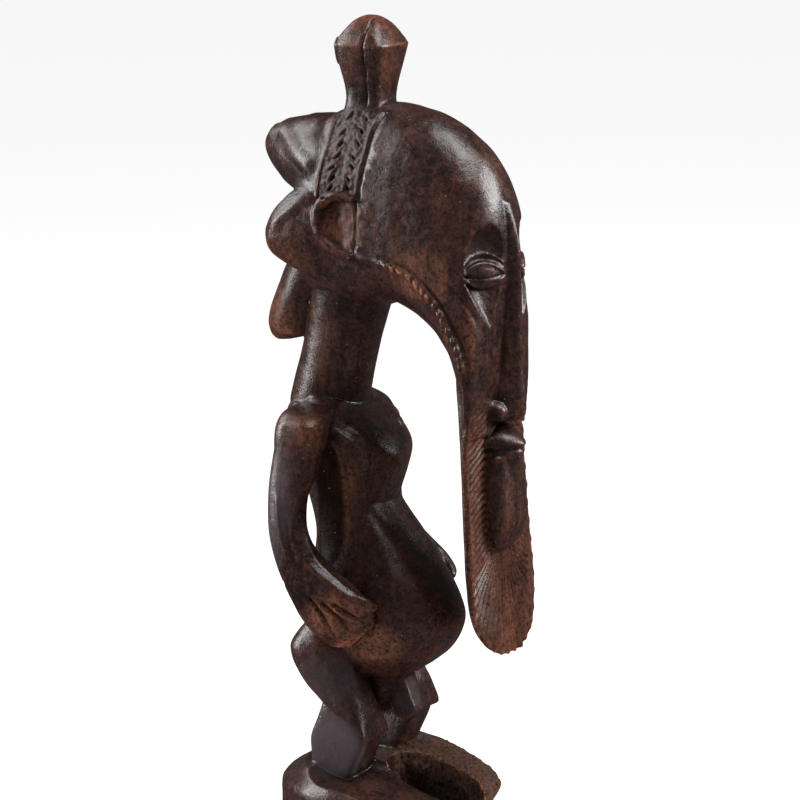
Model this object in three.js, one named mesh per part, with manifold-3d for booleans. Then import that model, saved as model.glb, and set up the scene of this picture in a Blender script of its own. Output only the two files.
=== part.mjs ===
// A standing ancestor figure carved from one block of dark hardwood, together with its round
// plinth. The head leans out over the body like a hood, and its long bearded face hangs down in
// front of the belly. Millimetres, +Z up. The figure looks along -Y, and its left side is +X.
// The origin is the middle of the plinth's underside.
import * as THREE from "three";
import { mergeVertices } from "three/addons/utils/BufferGeometryUtils.js";
import Module from "manifold-3d";

const wasm = await Module();
wasm.setup();

// Driving dimensions.
const HEIGHT = 400; // underside of the plinth to the top of the finial
const PLINTH_RADIUS = 52;
const PLINTH_HEIGHT = 13;
const ANKLE_HEIGHT = 37; // top of the feet where the legs stand on them
const KNEE_SPACING = 47; // middle of one knee to the middle of the other
const ANKLE_SPACING = 39;
const TOE_ANGLES = [0.36, 0.56, 0.76]; // radians from straight ahead
const FINGER_PITCH = 6.2; // at the roots
const FINGER_SPREAD = 1.15; // pitch at the tips, as a share of that at the roots
const HEAD_HALF_WIDTH = 30;
const BEARD_HALF_WIDTH = 30;
const BEARD_GROOVES = 8;
const EYE_TURN = 0.65; // radians from straight ahead
const BAND_FORWARD = -10.5; // middle of the headband, which the finial stands on
const BAND_WIDTH = 23;
const BAND_RAISE = 1.4;
const BAND_BORDER = 3; // width of its raised borders
const BAND_BARS = 7;
const BAND_BAR_WIDTH = 2.2;
const BAND_BAR_TURN = 1.1; // radians from straight across
const BAND_BARS_SPREAD = 58; // from ear to ear, seen from above

// The face hangs from the brow to the chin, and its features lie at tenths of its length.
const BROW_UP = 310;
const CHIN_UP = 150;
const TENTH = (BROW_UP - CHIN_UP) / 10;
const EYE_UP = BROW_UP - 1.5 * TENTH;
const NOSE_UP = BROW_UP - 5.75 * TENTH;
const MOUTH_UP = BROW_UP - 6.75 * TENTH;

const ACROSS = new THREE.Vector3(1, 0, 0);
const FORWARD = new THREE.Vector3(0, -1, 0);
const RIGHT_AND_LEFT = [-1, 1];

// A point from how far it is to the figure's left, forward and up.
const place = (left, forward, up) => new THREE.Vector3(left, -forward, up);

// A Catmull-Rom value between b and c, for t from 0 to 1.
function between(a, b, c, d, t) {
  const leaving = (c - a) / 2;
  const arriving = (d - b) / 2;
  const cubic = 2 * (b - c) + leaving + arriving;
  const square = 3 * (c - b) - 2 * leaving - arriving;
  return ((cubic * t + square) * t + leaving) * t + b;
}

// The stations of a form, with smooth ones put in so that each span has the given steps.
function smooth(stations, steps) {
  const last = stations.length - 1;
  const all = [];
  for (let i = 0; i < last; i++) {
    const [a, b, c, d] = [Math.max(i - 1, 0), i, i + 1, Math.min(i + 2, last)].map((j) => stations[j]);
    for (let k = 0; k < steps; k++) all.push(b.map((_, n) => between(a[n], b[n], c[n], d[n], k / steps)));
  }
  return [...all, stations[last]];
}

// A loop of points round a middle, with its own reach to the front and the back. A squareness
// of 2 is an ellipse, and more is boxier.
function loop(middle, across, outward, sides, wide, front, back, squareFront, squareBack = squareFront) {
  return Array.from({ length: sides }, (_, i) => {
    const angle = ((i + 0.5) / sides) * 2 * Math.PI;
    const [c, s] = [Math.cos(angle), Math.sin(angle)];
    const power = 2 / (s > 0 ? squareFront : squareBack);
    return middle
      .clone()
      .addScaledVector(across, wide * Math.sign(c) * Math.abs(c) ** power)
      .addScaledVector(outward, (s > 0 ? front : back) * Math.sign(s) * Math.abs(s) ** power);
  });
}

// A closed skin over loops that have the same number of points, with a fan over each end.
function skin(loops) {
  const sides = loops[0].length;
  const last = loops.length - 1;
  const middleOf = (ring) => ring.reduce((sum, p) => sum.add(p), new THREE.Vector3()).divideScalar(sides);
  const points = [...loops.flat(), middleOf(loops[0]), middleOf(loops[last])];
  const index = [];
  for (let i = 0; i < sides; i++) {
    const j = (i + 1) % sides;
    for (let r = 0; r < last; r++) {
      const [low, high] = [r * sides, (r + 1) * sides];
      index.push(low + i, low + j, high + j, low + i, high + j, high + i);
    }
    index.push(points.length - 2, j, i, points.length - 1, last * sides + i, last * sides + j);
  }
  return new THREE.BufferGeometry().setFromPoints(points).setIndex(index);
}

// A form built up of level loops. A station is up, forward and left of the middle, half-width,
// reach to the front, reach to the back, squareness in front and behind.
function stacked(stations, sides, steps) {
  return skin(
    smooth(stations, steps).map(([up, forward, left, wide, front, back, square, squareBack]) =>
      loop(place(left, forward, up), ACROSS, FORWARD, sides, wide, front, back, square, squareBack),
    ),
  );
}

// A form of loops that are level from side to side. A station is forward and up on the outer
// profile, forward and up on the inner profile, half-width, how far from the inner side the form
// is widest, from 0 to 1, squareness outside and inside, and left where it isn't the middle. The
// skin can be grown by a little for what lies on it.
function bowed(stations, sides, steps, grow = 0) {
  return skin(
    smooth(stations, steps).map(
      ([outerForward, outerUp, innerForward, innerUp, wide, share, outside, inside, left = 0]) => {
        const outer = place(left, outerForward, outerUp);
        const inner = place(left, innerForward, innerUp);
        const deep = outer.distanceTo(inner);
        const outward = outer.clone().sub(inner).normalize();
        const [front, back] = [deep * (1 - share) + grow, deep * share + grow];
        const middle = inner.lerp(outer, share);
        return loop(middle, ACROSS, outward, sides, wide + grow, front, back, outside, inside);
      },
    ),
  );
}

// A limb, cord or ridge along any path. A station is left, forward and up of its middle,
// half-width across the figure, half-thickness the other way, squareness.
function limb(stations, sides, steps) {
  const full = smooth(stations, steps);
  const middles = full.map(([left, forward, up]) => place(left, forward, up));
  return skin(
    full.map(([, , , wide, thick, square], i) => {
      const before = middles[Math.max(i - 1, 0)];
      const along = middles[Math.min(i + 1, full.length - 1)].clone().sub(before).normalize();
      const across = ACROSS.clone().addScaledVector(along, -along.x).normalize();
      const outward = new THREE.Vector3().crossVectors(across, along);
      return loop(middles[i], across, outward, sides, wide, thick, thick, square);
    }),
  );
}

// An egg from its middle (left, forward, up) and its half sizes (across, forward, up), turned
// round the upright axis.
function egg([left, forward, up], [wide, deep, tall], turn = 0) {
  const round = new THREE.SphereGeometry(1, 10, 6).rotateX(Math.PI / 2).scale(wide, deep, tall);
  return solid(round.rotateZ(turn).translate(left, -forward, up));
}

// A geometry as a solid that can be joined and cut, with its faces pointing out.
function solid(geometry) {
  const bare = geometry.clone();
  bare.deleteAttribute("normal");
  bare.deleteAttribute("uv");
  const merged = mergeVertices(bare);
  const vertProperties = merged.attributes.position.array;
  const triVerts = new Uint32Array(merged.index.array);
  const made = () => new wasm.Manifold(new wasm.Mesh({ numProp: 3, vertProperties, triVerts }));
  if (made().volume() < 0)
    for (let i = 0; i < triVerts.length; i += 3) triVerts.subarray(i, i + 3).reverse();
  return made();
}

const join = (solids) => solids.reduce((all, one) => all.add(one));
const onBothSides = (make) => join(RIGHT_AND_LEFT.map(make));

// The plinth is a low disc with a worn lower edge.
function plinth() {
  const outline = [
    [0, 0],
    [PLINTH_RADIUS - 1.2, 0],
    [PLINTH_RADIUS, 1.5],
    [PLINTH_RADIUS, PLINTH_HEIGHT],
    [0, PLINTH_HEIGHT + 1],
  ].map(([radius, up]) => new THREE.Vector2(radius, up));
  return solid(new THREE.LatheGeometry(outline, 32).rotateX(Math.PI / 2));
}

// The feet are one drum as wide as the plinth. Its top falls to the heels and, more, to the
// toes, and it is cut lower over the right foot. A deep notch parts it in front, and short cuts
// part the toes.
function feet() {
  const drum = stacked(
    [
      [PLINTH_HEIGHT - 3, -0.6, 0, 51.9, 51.2, 51.6, 2],
      [20, -1, 0, 51.9, 51, 51.5, 2],
      [28, -2, 0, 51.4, 48, 49.6, 2],
      [34, -7, 0, 47.8, 37.5, 36, 2],
      [ANKLE_HEIGHT + 1, -12, 0, 41.3, 24, 26, 2],
    ],
    32,
    1,
  );
  const notch = stacked(
    [
      [PLINTH_HEIGHT, 32, 0, 8, 30, 24, 3],
      [24, 30, 0, 11, 32, 28, 3],
      [45, 30, 0, 14, 32, 30, 3],
    ],
    12,
    1,
  );
  const slope = limb(
    [
      [-40, -26, 50, 15, 9, 3],
      [-38, -12, 43.5, 18, 9.5, 3],
      [-33, 4, 41, 22, 9.5, 3],
      [-29, 20, 37.5, 24, 9.5, 3],
      [-26, 38, 33, 25, 9.5, 3],
      [-24, 62, 26, 26, 9.5, 3],
    ],
    12,
    1,
  );
  const toeCut = (angle) => {
    const cut = new THREE.BoxGeometry(1.4, 11, 9);
    cut.translate(0, -PLINTH_RADIUS, PLINTH_HEIGHT + 8);
    return solid(cut.rotateZ(angle));
  };
  const toeCuts = onBothSides((side) => join(TOE_ANGLES.map((angle) => toeCut(side * angle))));
  return solid(drum).subtract(solid(notch)).subtract(solid(slope)).subtract(toeCuts);
}

// Each leg is bent hard at the knee: a flat-sided thigh runs forward and down to a square cut
// knee, and a short faceted shin goes back to the ankle. The left knee was left a little higher.
function leg(side) {
  const knee = side * KNEE_SPACING * 0.5;
  const ankle = side * ANKLE_SPACING * 0.5;
  const lift = side > 0 ? 3 : 0;
  const thigh = bowed(
    [
      [-19, 113, -31, 108, 9, 0.5, 2.2, 2.6, knee * 0.95],
      [-11, 102, -37, 97, 13, 0.5, 2.3, 3, knee * 1.06],
      [-3, 87, -30, 85, 13.8, 0.42, 2.4, 4, knee * 1.06],
      [1.5, 76, -19.5, 75, 13, 0.36, 2.6, 5, knee * 1.04],
      [4.5, 68 + lift, -8.5, 66.5 + lift, 12, 0.34, 3, 6, knee * 1.01],
      [6, 61.5 + lift, 2, 60 + lift, 11.5, 0.4, 4, 6, knee],
      [7.2, 57 + lift, 7.6, 54.4 + lift, 11.2, 0.5, 6, 6, knee],
    ],
    14,
    1,
  );
  const shin = bowed(
    [
      [-2, 72 + lift, -20, 70 + lift, 8.8, 0.5, 5, 5, knee],
      [3.5, 60 + lift, -22.5, 62 + lift, 9.3, 0.5, 6, 6, knee],
      [5.5, 54 + lift, -26.5, 52, 9.6, 0.5, 7, 7, knee * 0.98],
      [0.5, 43, -27.5, 43, 10.4, 0.5, 7, 7, ankle * 1.04],
      [-4.5, 31, -26.5, 31, 11, 0.5, 7, 7, ankle],
    ],
    12,
    1,
  );
  return solid(thigh).add(solid(shin));
}

// The trunk is narrow at the chest and swells to a belly that leans forward over the knees.
function trunk() {
  return solid(
    stacked(
      [
        [80, -4, 0, 12, 14, 12, 2],
        [85.5, -6, 0, 22, 25, 20, 2],
        [96, -6, 0, 28.5, 38, 27, 2.1],
        [109, -5, 0, 31, 43.5, 31, 2.15],
        [119, -5.3, 0, 29.8, 41, 31, 2.35],
        [131, -6.5, 0, 26.5, 34, 30.5, 2.8],
        [150, -10, 0, 20.5, 23.2, 25, 3.6],
        [167, -16, 0, 18.5, 15.5, 24, 3.6],
        [190, -24, 0, 22, 16, 23, 2.6],
        [207, -30, 0, 26, 14, 21, 2.6],
        [214, -33, 0, 22, 12, 16, 2.4],
      ],
      20,
      1,
    ),
  );
}

// The chest stands out as a block with flat sides and a soft ridge across it.
function chest() {
  const front = stacked(
    [
      [156, -10, 0, 14, 4, 10, 2.6, 2],
      [166, -9, 0, 16, 8.5, 12, 2.3, 2],
      [188, -7.3, 0, 19.5, 14, 16, 2.2, 2],
      [193, -8.3, 0, 20.5, 13.8, 16, 2.2, 2],
      [200, -12.5, 0, 23, 12.5, 16, 2.3, 2],
      [207, -18, 0, 27, 10.5, 15, 2.5, 2.2],
      [212, -23, 0, 28, 9.5, 14, 2.6, 2.4],
      [217.5, -30, 0, 20, 11, 8, 2.4, 2.4],
    ],
    18,
    1,
  );
  const ribs = stacked(
    [
      [157, -14, 0, 17, 8, 10, 5, 2],
      [168, -13, 0, 19, 9, 12, 5, 2],
      [180, -11.5, 0, 21.3, 11, 14, 4.5, 2],
      [190, -10, 0, 23.2, 11, 16, 4.5, 2],
      [197, -12.5, 0, 25.2, 10, 16, 4.5, 2],
      [204, -17, 0, 27.5, 8, 15, 4, 2],
      [210, -22, 0, 28, 6, 12, 3, 2],
    ],
    14,
    1,
  );
  return solid(front).add(solid(ribs));
}

// Flat-topped shoulders carry arms that hang behind the trunk, clear of it at the elbow, and end
// in broad flat hands that lie on the hips with the fingers pointing down and forward. The thumb
// lies on top. The left shoulder was cut lower and further back.
function arm(side) {
  const [drop, back] = side > 0 ? [8, 5] : [0, 0];
  const shoulder = stacked(
    [
      [168 - drop, -30 - back, side * 39, 5, 5, 6, 2.4],
      [184 - drop, -28.5 - back, side * 38.4, 8.4, 9.6, 10, 2.8],
      [198 - drop, -27.2 - back, side * 37, 10, 12, 11.6, 3],
      [206 - drop, -26.8 - back, side * 35.2, 11.2, 12.6, 12, 3],
      [210.5 - drop, -27 - back, side * 32.6, 11.6, 12, 11.4, 2.8],
      [213.6 - drop, -28 - back, side * 27.5, 12, 9.5, 9.6, 2.5],
      [215.4 - drop, -29 - back, side * 22, 9, 6, 6, 2.2],
    ],
    12,
    1,
  );
  const forearm = limb(
    [
      [side * 37.6, -27.6 - back, 203 - drop, 6.5, 8.5, 3],
      [side * 38.3, -28.4 - back, 194 - drop, 8.2, 10.4, 3],
      [side * 39, -31 - back * 0.8, 182, 8.8, 9.6, 2.8],
      [side * 40, -32.4 - back * 0.5, 168, 9, 8.4, 2.8],
      [side * 41, -31, 154, 9, 8.6, 2.6],
      [side * 41.4, -25.5, 142, 8.6, 10.5, 2.6],
      [side * 40.5, -16.5, 130, 7, 14.5, 2.8],
      [side * 38.5, -7, 119.5, 6, 17, 3],
      [side * 35.5, 1.5, 111, 4.6, 15, 3],
      [side * 33.5, 4.8, 107.3, 2.4, 9.5, 2.4],
    ],
    12,
    1,
  );
  const thumb = limb(
    [
      [side * 41, -25.5, 163, 2, 2.6, 1.8],
      [side * 43.4, -21.5, 152, 3.4, 4.2, 1.7],
      [side * 44.2, -6, 135.2, 3.4, 4.2, 1.7],
      [side * 39, 11, 124.8, 2.8, 3.2, 2],
      [side * 35, 14.5, 122.6, 1.4, 1.6, 2],
    ],
    6,
    2,
  );
  return join([solid(shoulder), solid(forearm), solid(thumb)]);
}

// The fingers lie side by side across the end of the hand, from the hip's side to its front, and
// spread a little towards their tips. The front ones are shorter.
function fingers(side) {
  const finger = (n) => {
    const [rootForward, rootUp] = [n * FINGER_PITCH - 19.5, 126];
    const [tipForward, tipUp] = [n * FINGER_PITCH * FINGER_SPREAD - 10.5, 103.5 + n * 3.2];
    const [middleForward, middleUp] = [(rootForward + tipForward) / 2, (rootUp + tipUp) / 2];
    return solid(
      limb(
        [
          [side * 43.5, rootForward, rootUp, 2.2, 2.6, 2],
          [side * 41.5, middleForward, middleUp, 3, 3.2, 2],
          [side * 36.5, tipForward, tipUp, 2.6, 2.8, 2],
        ],
        8,
        1,
      ),
    );
  };
  return join([0, 1, 2, 3].map(finger));
}

// A wedge hangs before a rounder form that fills the space between the legs.
function loins() {
  const front = stacked(
    [
      [58.8, 8.5, 1, 4, 2.5, 3, 5],
      [61, 8.5, 1, 5, 5.5, 4.5, 6],
      [64.5, 8.5, 1, 5.6, 8.5, 5.5, 7],
      [70, 6.5, 1, 6, 8.5, 6, 7],
      [79, 3, 1, 6.5, 8.5, 6, 6],
      [86, 2, 1, 7, 7, 8, 6],
    ],
    12,
    1,
  );
  const seat = limb(
    [
      [0, 0, 90, 14, 12, 2.2],
      [0, -4, 76, 12, 11, 2.2],
      [0, -6, 66, 7, 6, 2.2],
    ],
    12,
    1,
  );
  return solid(front).add(solid(seat));
}

// The neck is a tall round column that leans forward from the shoulders into the head.
function neck() {
  return solid(
    stacked(
      [
        [206, -34, 0, 17, 17, 17, 2],
        [214, -34, 0, 19.3, 19.3, 19.3, 2],
        [240, -27.5, 0, 18.7, 18.7, 18.7, 2],
        [262, -22, 0, 20, 20, 20, 2],
        [275, -19, 0, 22, 24, 20, 2],
      ],
      20,
      1,
    ),
  );
}

// The head is a hood that arches from the nape over the brow and down into the face.
const HOOD = [
  [-44, 326, -46, 292, 15, 0.5, 2.2, 2.2],
  [-37, 346, -40, 268, 23, 0.45, 2.2, 2.2],
  [-18, 357.5, -25, 260, 28, 0.4, 2.1, 2.2],
  [5, 360, -3, 262, HEAD_HALF_WIDTH, 0.34, 2.15, 2.2],
  [28, 356, 8, 265, HEAD_HALF_WIDTH + 0.5, 0.32, 2.2, 2.2],
  [44, 347.5, 16, 263.5, HEAD_HALF_WIDTH + 0.5, 0.32, 2.2, 2.2],
  [56, 336.5, 23, 260.5, HEAD_HALF_WIDTH + 0.5, 0.32, 2.2, 2.2],
  [63.5, 322, 30, 256.5, HEAD_HALF_WIDTH, 0.32, 2.2, 2.2],
  [66.8, 306, 36, 251.5, 29.5, 0.34, 2.2, 2.2],
  [67, 288, 41, 245.5, 29, 0.38, 2.3, 2.2],
  [66, 270, 45.5, 239, 28.5, 0.42, 2.5, 2.3],
  [65, 252, 49, 231, 28, 0.46, 2.9, 2.3],
  [64, 232, 51.5, 222, 27.5, 0.5, 3.6, 2.3],
  [61, 208, 53, 205, 27, 0.55, 5, 2.3],
];

const hood = () => solid(bowed(HOOD, 24, 1));

// The beard is a broad blade, flat in front and rounded behind, with thin edges. Its tip leans
// to the left. Grooves run down it from the chin and notch its edge.
function beard() {
  const blade = stacked(
    [
      [228, 54.5, 0, 27, 5, 5, 4, 2.2],
      [200, 57.5, 0, 27.5, 2, 5.5, 6, 2.2],
      [172, 59, 0.5, 28.5, 1.7, 5.5, 8, 2.2],
      [136, 61.3, 1.2, BEARD_HALF_WIDTH, 1.7, 4.5, 8, 2.2],
      [118, 63, 2, BEARD_HALF_WIDTH - 2.5, 1.7, 4, 8, 2.2],
      [107, 64.3, 3.5, 20.5, 1.7, 3.2, 8, 2.2],
      [101, 65, 5, 11, 1.6, 2.4, 6, 2.2],
      [99.6, 65.2, 6, 4, 1.2, 1.2, 4, 2.2],
    ],
    20,
    1,
  );
  const groove = (n) => {
    const across = n / BEARD_GROOVES - 0.5;
    const [left, up] = [3 + across * 78, 93 + 150 * across ** 2];
    const ahead = 67 - (up - 100) * 0.105;
    const path = [
      [across * 34, 61.4, CHIN_UP + 6, 0.8, 1, 2],
      [left, ahead, up, 1.5, 2, 2],
    ];
    return solid(limb(path, 4, 1));
  };
  const grooves = join(Array.from({ length: BEARD_GROOVES + 1 }, (_, n) => groove(n)));
  return solid(blade).subtract(grooves);
}

// A long straight nose with small wings hangs from the brow.
function nose() {
  const bridge = stacked(
    [
      [NOSE_UP - 4, 58, 0, 8, 13, 2, 2.2],
      [NOSE_UP, 59, 0, 9, 15.5, 2, 2],
      [NOSE_UP + 7, 60, 0, 7.5, 15, 2, 1.8],
      [NOSE_UP + 24, 61, 0, 5.2, 12.5, 2, 1.8],
      [EYE_UP - 14, 61, 0, 4.4, 11.8, 2, 1.8],
      [EYE_UP + 12, 61, 0, 5, 10.5, 2, 1.8],
      [BROW_UP + 8, 58, 0, 7, 8, 2, 2],
    ],
    12,
    1,
  );
  const wing = (side) => egg([side * 8, 64, NOSE_UP + 1], [4.2, 5.5, 4.8]);
  return solid(bridge).add(onBothSides(wing));
}

// The lips are two small wedges, parted by a groove.
function mouth() {
  const lips = stacked(
    [
      [MOUTH_UP - 11, 58, 0, 8, 9, 2, 2],
      [MOUTH_UP - 7, 58, 0, 10, 13.5, 2, 1.9],
      [MOUTH_UP, 58, 0, 11.5, 17, 2, 1.7],
      [MOUTH_UP + 5, 58, 0, 10.5, 13.5, 2, 1.9],
      [MOUTH_UP + 9, 58, 0, 6, 8, 2, 2],
    ],
    16,
    1,
  );
  const parting = egg([0, 76, MOUTH_UP - 0.7], [14, 7, 1.2]);
  return solid(lips).subtract(parting);
}

// The chin is a long flat-sided block that hangs over the beard.
function chin() {
  return solid(
    bowed(
      [
        [69, CHIN_UP + 48, 55, CHIN_UP + 46, 11, 0.5, 3.4, 3.4],
        [71, CHIN_UP + 32, 55, CHIN_UP + 32, 12.5, 0.5, 3.4, 3.4],
        [72, CHIN_UP + 16, 57, CHIN_UP + 14, 13, 0.5, 3.4, 3.4],
        [69, CHIN_UP + 6, 59, CHIN_UP + 6, 11.5, 0.5, 3.4, 3.4],
        [63, CHIN_UP, 60, CHIN_UP + 1, 8, 0.5, 3, 3],
      ],
      16,
      1,
    ),
  );
}

// Each eye lies on the side of the face, in a shield-shaped hollow that ends in a point below.
// The lids are shut on a long bean with a slit across it.
function eyeHollow(side) {
  const hollow = stacked(
    [
      [EYE_UP - 26, 0, 0, 0.6, 5, 2, 2],
      [EYE_UP - 17, 0, 0, 6.5, 5, 3.6, 2],
      [EYE_UP - 5, 0, 0, 12.5, 5, 5.6, 2],
      [EYE_UP + 8, 0, 0, 13.5, 5, 6, 2],
      [EYE_UP + 17, 0, 0, 10.5, 5, 5.5, 2],
      [EYE_UP + 22.5, 0, 0, 3, 5, 3, 2],
    ],
    10,
    1,
  );
  return solid(hollow.rotateZ(side * EYE_TURN).translate(side * 16, -66, 0));
}

function eye(side) {
  const lids = egg([side * 15.5, 60.5, EYE_UP - 1], [11.5, 4.5, 6.2], side * EYE_TURN);
  const slit = egg([side * 17.8, 64.8, EYE_UP - 1.5], [9.5, 2.4, 0.9], side * EYE_TURN);
  return lids.subtract(slit);
}

// The ear is a rim bent like the letter C, open to the front.
function ear(side) {
  return solid(
    limb(
      [
        [side * 30, -1, 316.5, 2, 1.4, 2.2],
        [side * 30.5, -10.5, 318, 2.4, 2, 2.2],
        [side * 30.5, -19.5, 313, 2.6, 2.4, 2.2],
        [side * 30.5, -21, 305, 2.6, 2.4, 2.2],
        [side * 30.5, -18, 297, 2.6, 2.4, 2.2],
        [side * 30.3, -10, 291.5, 2.4, 2.2, 2.2],
        [side * 30, -1.5, 289.5, 2, 1.8, 2.2],
      ],
      6,
      2,
    ),
  );
}

// A ridge runs from the ear along the jaw to the edge of the beard.
function jawRim(side) {
  return solid(
    limb(
      [
        [side * 29.3, -3, 290, 1.4, 1.4, 2],
        [side * 29.3, 11.5, 288.5, 1.6, 1.6, 2],
        [side * 29.5, 21, 286, 1.7, 1.7, 2],
        [side * 29.3, 31, 282, 1.7, 1.7, 2],
        [side * 28.8, 42.5, 271, 1.7, 1.7, 2],
        [side * 28, 50.5, 258.5, 1.7, 1.7, 2],
        [side * 27.5, 55.5, 247, 1.6, 1.6, 2],
        [side * 27, 58, 232, 1.4, 1.4, 2],
        [side * 27, 58.5, 215, 1.2, 1.2, 2],
      ],
      6,
      1,
    ),
  );
}

// The headband goes over the head from ear to ear. It has a raised border on each side and a
// row of slanting cuts between them. Upright blocks cut it out of a skin just over the head's.
function headband() {
  const raised = solid(bowed(HOOD, 24, 1, BAND_RAISE));
  const [blockUp, blockTall, pastHead] = [345, 60, 3 * HEAD_HALF_WIDTH];
  const strip = (forward, wide, turn, left, long) => {
    const box = new THREE.BoxGeometry(long, wide, blockTall).rotateZ(turn);
    box.translate(left, -forward, blockUp);
    return solid(box);
  };
  const edge = (BAND_WIDTH - BAND_BORDER) / 2;
  const borders = [-edge, edge].map((aside) => strip(BAND_FORWARD + aside, BAND_BORDER, 0, 0, pastHead));
  const bars = Array.from({ length: BAND_BARS }, (_, n) => {
    const left = ((n + 0.5) / BAND_BARS - 0.5) * BAND_BARS_SPREAD;
    return strip(BAND_FORWARD, BAND_BAR_WIDTH, BAND_BAR_TURN, left, BAND_WIDTH - BAND_BORDER);
  });
  return raised.intersect(join([...borders, ...bars]));
}

// The hair is drawn into four smooth lobes that make a cross at the back of the head.
function coiffure() {
  const upper = limb(
    [
      [0, -18, 322, 27, 29, 2],
      [0, -34, 329.5, 23, 24, 1.9],
      [0, -50, 333.5, 16.5, 18, 1.9],
      [0, -61.5, 337.5, 10, 11.5, 1.9],
      [0, -66.5, 340, 5, 6, 2],
    ],
    12,
    1,
  );
  const lower = limb(
    [
      [0, -34, 288, 18, 15, 2.2],
      [0, -42, 272, 17, 15.5, 2],
      [0, -48.5, 260, 16, 15, 2],
      [0, -53, 250, 14.5, 14, 2],
      [0, -54, 241.5, 7, 7.5, 2],
    ],
    12,
    1,
  );
  const wing = (side) =>
    limb(
      [
        [side * 9, -8, 296, 20, 22, 2.2],
        [side * 14, -20, 297.5, 18, 24.5, 2],
        [side * 19.5, -32, 298, 15.5, 22.5, 1.9],
        [side * 24, -41, 296.5, 11.5, 17, 1.9],
        [side * 27, -48, 295, 7, 10, 1.9],
        [side * 28, -51, 294.5, 3.5, 5, 2],
      ],
      12,
      1,
    );
  return join([solid(upper), solid(lower), onBothSides((side) => solid(wing(side)))]);
}

// The finial is a square peg with its corners taken off, wider at the top, under a low dome.
function finial() {
  const middle = BAND_FORWARD + 0.5;
  return solid(
    stacked(
      [
        [350, middle, 0, 13, 13, 13, 5],
        [362, middle, 0, 10.2, 10.2, 10.2, 5],
        [384, middle, 0, 14.3, 14.3, 14.3, 5],
        [388, middle, 0, 14.1, 14.1, 14.1, 5],
        [396, middle, 0, 9, 9, 9, 3.6],
        [HEIGHT, middle, 0, 2.5, 2.5, 2.5, 3],
      ],
      16,
      1,
    ),
  );
}

const body = join([plinth(), feet(), onBothSides(leg), loins(), trunk(), chest(), neck()]);
const arms = onBothSides(arm).add(onBothSides(fingers));
const head = join([hood(), beard(), coiffure(), nose()]).subtract(onBothSides(eyeHollow));
const features = join([onBothSides(eye), onBothSides(ear), onBothSides(jawRim), mouth(), chin()]);
const figure = join([body, arms, head, features, headband(), finial()]);

// A solid as a named mesh.
function meshOf(made, name, material) {
  const { vertProperties, triVerts } = made.getMesh();
  const geometry = new THREE.BufferGeometry()
    .setAttribute("position", new THREE.BufferAttribute(vertProperties, 3))
    .setIndex(new THREE.BufferAttribute(triVerts, 1));
  const mesh = new THREE.Mesh(geometry, material);
  mesh.name = name;
  return mesh;
}

const darkHardwood = new THREE.MeshStandardMaterial({ color: 0x3a261d, roughness: 0.42, metalness: 0 });

const group = new THREE.Group();
group.add(meshOf(figure, "carved_figure", darkHardwood));
export default group;
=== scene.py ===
"""A standing ancestor figure of dark hardwood, seen from its right and a little above."""

import math

import bmesh
import bpy
import numpy as np
from mathutils import Matrix, Vector, noise
from mathutils.bvhtree import BVHTree


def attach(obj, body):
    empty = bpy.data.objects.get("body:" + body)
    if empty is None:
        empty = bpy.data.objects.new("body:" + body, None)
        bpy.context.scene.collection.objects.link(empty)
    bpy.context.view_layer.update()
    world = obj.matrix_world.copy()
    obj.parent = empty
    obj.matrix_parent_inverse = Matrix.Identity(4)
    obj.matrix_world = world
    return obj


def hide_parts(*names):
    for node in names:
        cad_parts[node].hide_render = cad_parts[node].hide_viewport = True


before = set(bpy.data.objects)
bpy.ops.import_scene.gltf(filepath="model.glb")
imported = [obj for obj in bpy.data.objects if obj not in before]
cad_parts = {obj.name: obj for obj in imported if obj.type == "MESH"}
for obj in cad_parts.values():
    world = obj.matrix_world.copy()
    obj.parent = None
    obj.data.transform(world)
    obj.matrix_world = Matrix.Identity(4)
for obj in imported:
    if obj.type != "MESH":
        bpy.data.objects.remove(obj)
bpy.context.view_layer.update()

# The camera stands to the figure's right and in front of it, a little above its chest. The
# figure looks along -Y and its left side is +X.
CAMERA_SIDE = math.radians(58)
CAMERA_PITCH = math.radians(12)
CAMERA_DISTANCE = 1.65
FRAME_PIXELS = 800
SCALE_AT_AXIS = 0.00048  # metres of the object in one pixel of the frame
AXIS_TO_MIDDLE = 10.5  # pixels from the plinth's axis to the middle of the frame
AIM_UP = 0.216
AIM_ASIDE = AXIS_TO_MIDDLE * SCALE_AT_AXIS
SENSOR_WIDTH = 36

to_right = Vector((math.cos(CAMERA_SIDE), -math.sin(CAMERA_SIDE), 0))
to_camera = Vector(
    (
        -math.sin(CAMERA_SIDE) * math.cos(CAMERA_PITCH),
        -math.cos(CAMERA_SIDE) * math.cos(CAMERA_PITCH),
        math.sin(CAMERA_PITCH),
    )
)
aim = Vector((0, 0, AIM_UP)) + to_right * AIM_ASIDE
camera_data = bpy.data.cameras.new("camera")
camera_data.sensor_width = SENSOR_WIDTH
camera_data.lens = camera_data.sensor_width * CAMERA_DISTANCE / (SCALE_AT_AXIS * FRAME_PIXELS)
camera = bpy.data.objects.new("camera", camera_data)
camera.location = aim + to_camera * CAMERA_DISTANCE
camera.rotation_euler = to_camera.to_track_quat("Z", "Y").to_euler()
bpy.context.collection.objects.link(camera)
bpy.context.scene.camera = camera

# Plinth. The figure and its plinth are one block of hardwood, so every form is put into one
# mesh, in millimetres, and the block is skinned over them later. The plinth is a low disc.
PLINTH_RADIUS = 52
PLINTH_HEIGHT = 13
PLINTH_SIDE = ((0, 1), (2, 0), (PLINTH_HEIGHT - 2, 0), (PLINTH_HEIGHT, 0.5))  # height, and how far in
ACROSS = Vector((1, 0, 0))
FORWARD = Vector((0, -1, 0))
block = bmesh.new()


def place(left, forward, up):
    return Vector((left, -forward, up))


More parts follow.
